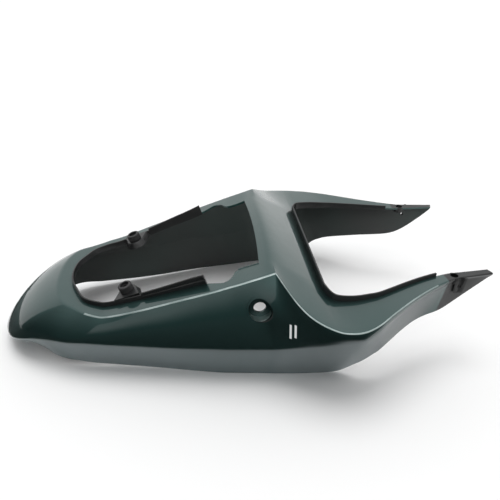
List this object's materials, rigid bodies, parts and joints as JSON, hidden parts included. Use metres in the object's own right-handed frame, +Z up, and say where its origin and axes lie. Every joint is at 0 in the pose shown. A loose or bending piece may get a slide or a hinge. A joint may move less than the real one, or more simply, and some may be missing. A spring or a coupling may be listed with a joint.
{
  "type": "motorcycle tail fairing",
  "caption": "Moulded tail fairing of a motorcycle: rounded tail, open pillion bay with upstanding lips, saddle, seat lock recess and tapering arms round the rider's seat.",
  "frame": {"origin": "on the floor under the middle of the whole part, on its middle plane", "axes": "+X to the front of the bike (the arm tips), +Y to its left, +Z up; the part rests on its lower edge"},
  "size_m": [0.761, 0.4504, 0.1713],
  "materials": {
    "paint": "dark green metallic paint under clear coat, bare black moulding at the lips, inside and arm tips",
    "grommet": "matte black rubber"
  },
  "bodies": {
    "root": {"tail_shell": "paint", "grommet_left": "grommet", "grommet_right": "grommet"}
  },
  "joints": []
}
